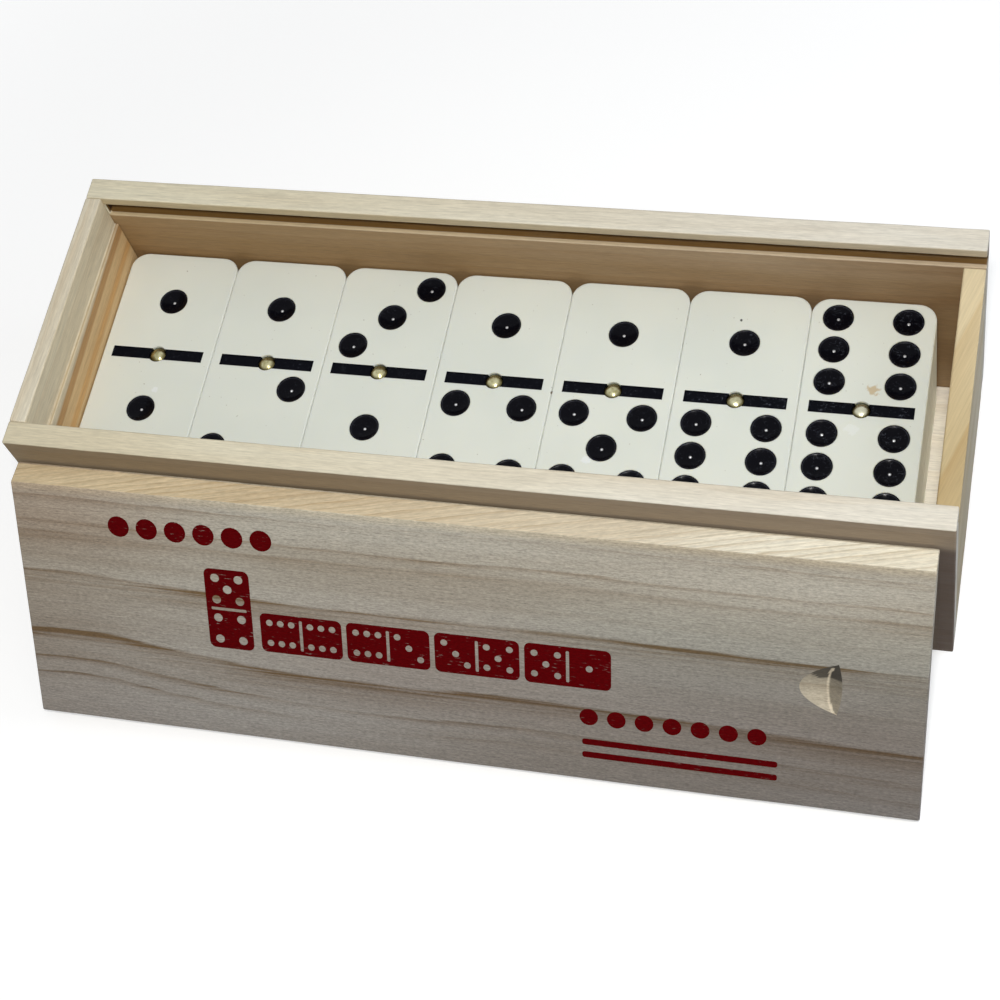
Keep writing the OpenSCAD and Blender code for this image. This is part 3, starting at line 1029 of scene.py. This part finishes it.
def lid_mesh():
    """The lid, lying with its underside at z = 0 and one long edge along X."""
    bm = bmesh.new()
    bm.verts.layers.float.new("tone")
    section = [(0, 0), (lid_width, 0), (lid_width, LID_EDGE)]
    section += [(lid_width - LID_SLOPE, LID_THICKNESS), (LID_SLOPE, LID_THICKNESS), (0, LID_EDGE)]
    near = [bm.verts.new((0, y, z)) for y, z in section]
    far = [bm.verts.new((lid_length, y, z)) for y, z in section]
    bm.faces.new(near[::-1])
    bm.faces.new(far)
    for k in range(6):
        bm.faces.new((near[k], near[(k + 1) % 6], far[(k + 1) % 6], far[k]))
    bmesh.ops.recalc_face_normals(bm, faces=bm.faces)
    wear_edges(bm, LID_WEAR, LID_STEP, 6.6)
    for face in bm.faces:
        if abs(face.normal.y) > 0.6 and face.normal.z > 0.3:
            face.material_index = LID_BEVEL
    # The flat upper face is made anew, with the notch and the print in it
    flats = (f for f in bm.faces if f.normal.z > 0.9 and not f.smooth)
    face = max(flats, key=lambda f: f.calc_area())
    outer = list(face.verts)
    bm.faces.remove(face)
    outline = add_notch(bm, (lid_length - NOTCH_INSET, lid_width / 2), LID_THICKNESS)
    fill(bm, outer, [outline], LID_THICKNESS, print_shapes())
    return bm


# The lid's streaks: the place across it, the half width and the darkness
LID_STREAKS = [
    (11.3, 1.8, 0.45),
    (15.2, 1.8, 0.6),
    (22.0, 5.0, 0.95),
    (37.2, 4.8, 1.0),
    (47.3, 3.4, 0.5),
    (50.0, 1.2, 0.75),
    (56.0, 2.0, 0.35),
]
# How far the grain lines wander across the lid, by the distance from its left end
LID_DRIFT = (
    187.0,
    [(0, 2.2), (12, 2.6), (30, 0.4), (60, -2.4), (85, -2.6), (105, -1.6), (140, -2.6), (187, -4.2)],
)
lid_look = dict(
    # The lid's face is greyer wood than the rims', and darker as painted shade
    light=srgb(176, 170, 157),
    dark=srgb(114, 92, 62),
    turn=Matrix.Rotation(-lid_angle, 3, "X"),
    origin=lid_origin,
    seed=13.0,
    spacing=4.2,
    slant=0.25,
    wander=1.2,
    strength=0.35,
    grain=3.0,
    streaks=LID_STREAKS,
    drift=LID_DRIFT,
    tints=[
        # Painted light and shade: darker and bluer towards the lower edge, most of all at the lower
        # right, darker and cooler bands across the middle, a darker right half below the top, and a
        # darker, warmer left end and upper left
        ({"Z": (-FAR, 20, 26)}, (0.70, 0.71, 0.79, 1)),
        ({"Z": (-FAR, 22, 20), "X": (20, FAR, 80)}, (0.68, 0.66, 0.66, 1)),
        ({"X": (-FAR, -70, 25)}, (0.91, 0.87, 0.84, 1)),
        ({"Z": (14, 31, 7), "X": (-40, FAR, 30)}, (0.84, 0.80, 0.80, 1)),
        ({"Z": (20, 36, 6), "X": (20, FAR, 30)}, (0.91, 0.957, 0.966, 1)),
        ({"Z": (-FAR, 39, 3), "X": (0, FAR, 90)}, (0.92, 0.92, 0.92, 1)),
        ({"Z": (38, FAR, 5), "X": (-FAR, -60, 25)}, (0.93, 0.86, 0.82, 1)),
        # A painted highlight along the rounded upper edge
        ({"Z": (47.4, FAR, 0.9)}, (1.22, 1.18, 1.08, 1)),
    ],
)
lid_pine = pine("lid_pine", **lid_look)
lid_print = pine("lid_print", ink=INK, **lid_look)
lid_slope = pine(
    "lid_slope", srgb(202, 188, 163), srgb(152, 124, 84), Matrix.Rotation(SLOPE_GRAIN, 3, "Z"),
    seed=15.0, spacing=1.25, slant=0.3, wander=0.9, strength=0.75, grain=1.5,
    tints=[
        # Painted warm light on the bevel's left part, and painted cool light, lighter and bluer, on
        # its right part
        ({"X": (-FAR, -20, 75)}, (1.05, 1.0, 0.88, 1)),
        ({"X": (40, FAR, 60)}, (1.42, 1.62, 1.90, 1)),
    ],
)
# The notch's cut wood, with painted light and shade at its vertices
lid_notch = pine(
    "lid_notch", srgb(186, 176, 156), srgb(138, 120, 96), seed=17.0, spacing=3.0, grain=2.0,
    vertex_light=True,
)
finish_mesh(
    "lid_wood", lid_mesh(), [lid_pine, lid_print, lid_slope, lid_notch], "lid", "lid",
    lid_place,
)

# ---------------------------------------------------------------- tiles and pins

ivory_plastic, brass_metal = ivory(), brass()
pip_paint = black_paint("pip_paint", (8, 8, 14), 0.05, 0.13, 0.2, 0.6)
# A lighter, glossier paint for the pale ring: a painted sheen
ring_sheen_paint = black_paint("ring_sheen_paint", (34, 35, 43), 0.15, 0.2, 0.3, 0.6)
bar_paint = black_paint("bar_paint", (11, 12, 18), 0.03, 0.45, 0.6, 1.0)
tile_look = [ivory_plastic, pip_paint, bar_paint, painted_glint(), ring_sheen_paint]
top_layer = len(LAYERS) - 1
for layer, row in enumerate(LAYERS):
    shown = layer == top_layer
    layer_pins = bmesh.new()
    for place, values in enumerate(row):
        pair = f"{min(values)}_{max(values)}"
        low, high = (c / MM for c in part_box(f"tile_{pair}"))
        middle, size = (low + high) / 2, high - low
        fineness = SHOWN_PIP if shown else HIDDEN_PIP
        bm = tile(values, size.z, size.x / 2 + SIDE_SWELL, size.y / 2, *fineness)
        node = f"tile_{pair}"
        body = node if shown else "box"
        spot = Matrix.Translation((middle.x, middle.y, low.z))
        finish_mesh(node + "_ivory", bm, tile_look, body, node, spot)
        pins = bmesh.new() if shown else layer_pins
        pin_into(pins, (middle.x, middle.y), high.z, place + 10 * layer)
        if shown:
            finish_mesh(f"pin_{pair}_brass", pins, [brass_metal], node, f"pin_{pair}")
    if shown:
        layer_pins.free()
    else:
        name = f"pins_layer_{layer + 1}"
        finish_mesh(name + "_brass", layer_pins, [brass_metal], "box", name)

# ---------------------------------------------------------------- stage, light and camera


def seen_rays(tree):
    """1 for the rays that show the background: those of the camera, gloss and glass."""
    path = tree.nodes.new("ShaderNodeLightPath")
    seen = calc(tree, "MAXIMUM", path.outputs["Is Camera Ray"], path.outputs["Is Glossy Ray"])
    return calc(tree, "MAXIMUM", seen, path.outputs["Is Transmission Ray"])


# The floor's size and how far it lies below the part, in millimetres
FLOOR_SIZE = 3000
FLOOR_DROP = 0.05
# Where the floor starts to turn into the plain white backdrop and where it has, in metres, and
# its own glow at both
FLOOR_GLOW = (0.12, 0.5, 0.5, 1.0)
# Lamps: place, target, size, power, colour and whether gloss shows them, in mm and watts
LAMPS = {
    "overhead": ((140, -40, 780), (10, 0, 0), 420, 0.6, (1.0, 0.985, 0.955), False),
    "flash": ((102, -200, 470), (0, 0, 20), 40, 1.58, (1.0, 0.98, 0.945), True),
    "right_fill": ((420, 60, 230), (90, 0, 20), 250, 0.5, (0.80, 0.89, 1.0), False),
}


def make_floor():
    """A wide pale floor, just below the object."""
    bm = bmesh.new()
    bmesh.ops.create_grid(bm, x_segments=8, y_segments=8, size=FLOOR_SIZE)
    bm.transform(Matrix.Translation((0, 0, -FLOOR_DROP)))
    bm.transform(Matrix.Scale(MM, 4))
    mesh = bpy.data.meshes.new("floor")
    bm.to_mesh(mesh)
    bm.free()
    material, tree = new_material("floor_white")
    seen = seen_rays(tree)
    colour = mix(tree, seen, (0.3, 0.3, 0.3, 1), (0.62, 0.62, 0.62, 1))
    lit = add_node(tree, "ShaderNodeBsdfDiffuse", {"Color": colour}).outputs[0]
    coords = add_node(tree, "ShaderNodeTexCoord").outputs["Object"]
    away = add_node(tree, "ShaderNodeVectorMath", {0: coords}, operation="LENGTH").outputs["Value"]
    glow = {"Color": (1, 1, 1, 1), "Strength": spread(tree, away, *FLOOR_GLOW)}
    white = add_node(tree, "ShaderNodeEmission", glow).outputs[0]
    plain = add_node(tree, "ShaderNodeAddShader", {0: lit, 1: white}).outputs[0]
    shader = add_node(tree, "ShaderNodeMixShader", {0: seen, 1: lit, 2: plain}).outputs[0]
    add_node(tree, "ShaderNodeOutputMaterial", {0: shader})
    mesh.materials.append(material)
    add_object("floor", mesh)


def make_world():
    """White where the camera, gloss or glass sees it, and a soft fill light elsewhere."""
    world = bpy.data.worlds.new("studio")
    bpy.context.scene.world = world
    world.use_nodes = True
    tree = world.node_tree
    tree.nodes.clear()
    seen = seen_rays(tree)
    soft, white = (
        add_node(tree, "ShaderNodeBackground", {"Color": colour, "Strength": power}).outputs[0]
        for colour, power in (((0.9, 0.95, 1, 1), 0.24), ((1, 1, 1, 1), 1.0))
    )
    both = add_node(tree, "ShaderNodeMixShader", {0: seen, 1: soft, 2: white}).outputs[0]
    add_node(tree, "ShaderNodeOutputWorld", {0: both})


def add_lamp(name, place, target, size, power, colour, in_gloss):
    """A square lamp, placed and aimed in millimetres."""
    data = bpy.data.lights.new(name, "AREA")
    data.size = size * MM
    data.energy = power
    data.color = colour
    lamp = add_object(name, data)
    lamp.location = Vector(place) * MM
    lamp.rotation_euler = (Vector(target) - Vector(place)).to_track_quat("-Z", "Y").to_euler()
    lamp.visible_glossy = in_gloss
    lamp.visible_camera = False


def make_camera():
    data = bpy.data.cameras.new("camera")
    data.sensor_width = SENSOR_WIDTH
    data.lens = CAMERA_LENS
    data.clip_start, data.clip_end = CLIP_START, CLIP_END
    camera = add_object("camera", data)
    camera.location = Vector(CAMERA_PLACE) * MM
    camera.rotation_euler = [math.radians(a) for a in CAMERA_TURN]
    bpy.context.scene.camera = camera


make_floor()
make_world()
make_camera()
for name, look in LAMPS.items():
    add_lamp(name, *look)
bpy.context.scene.view_settings.view_transform = "Standard"
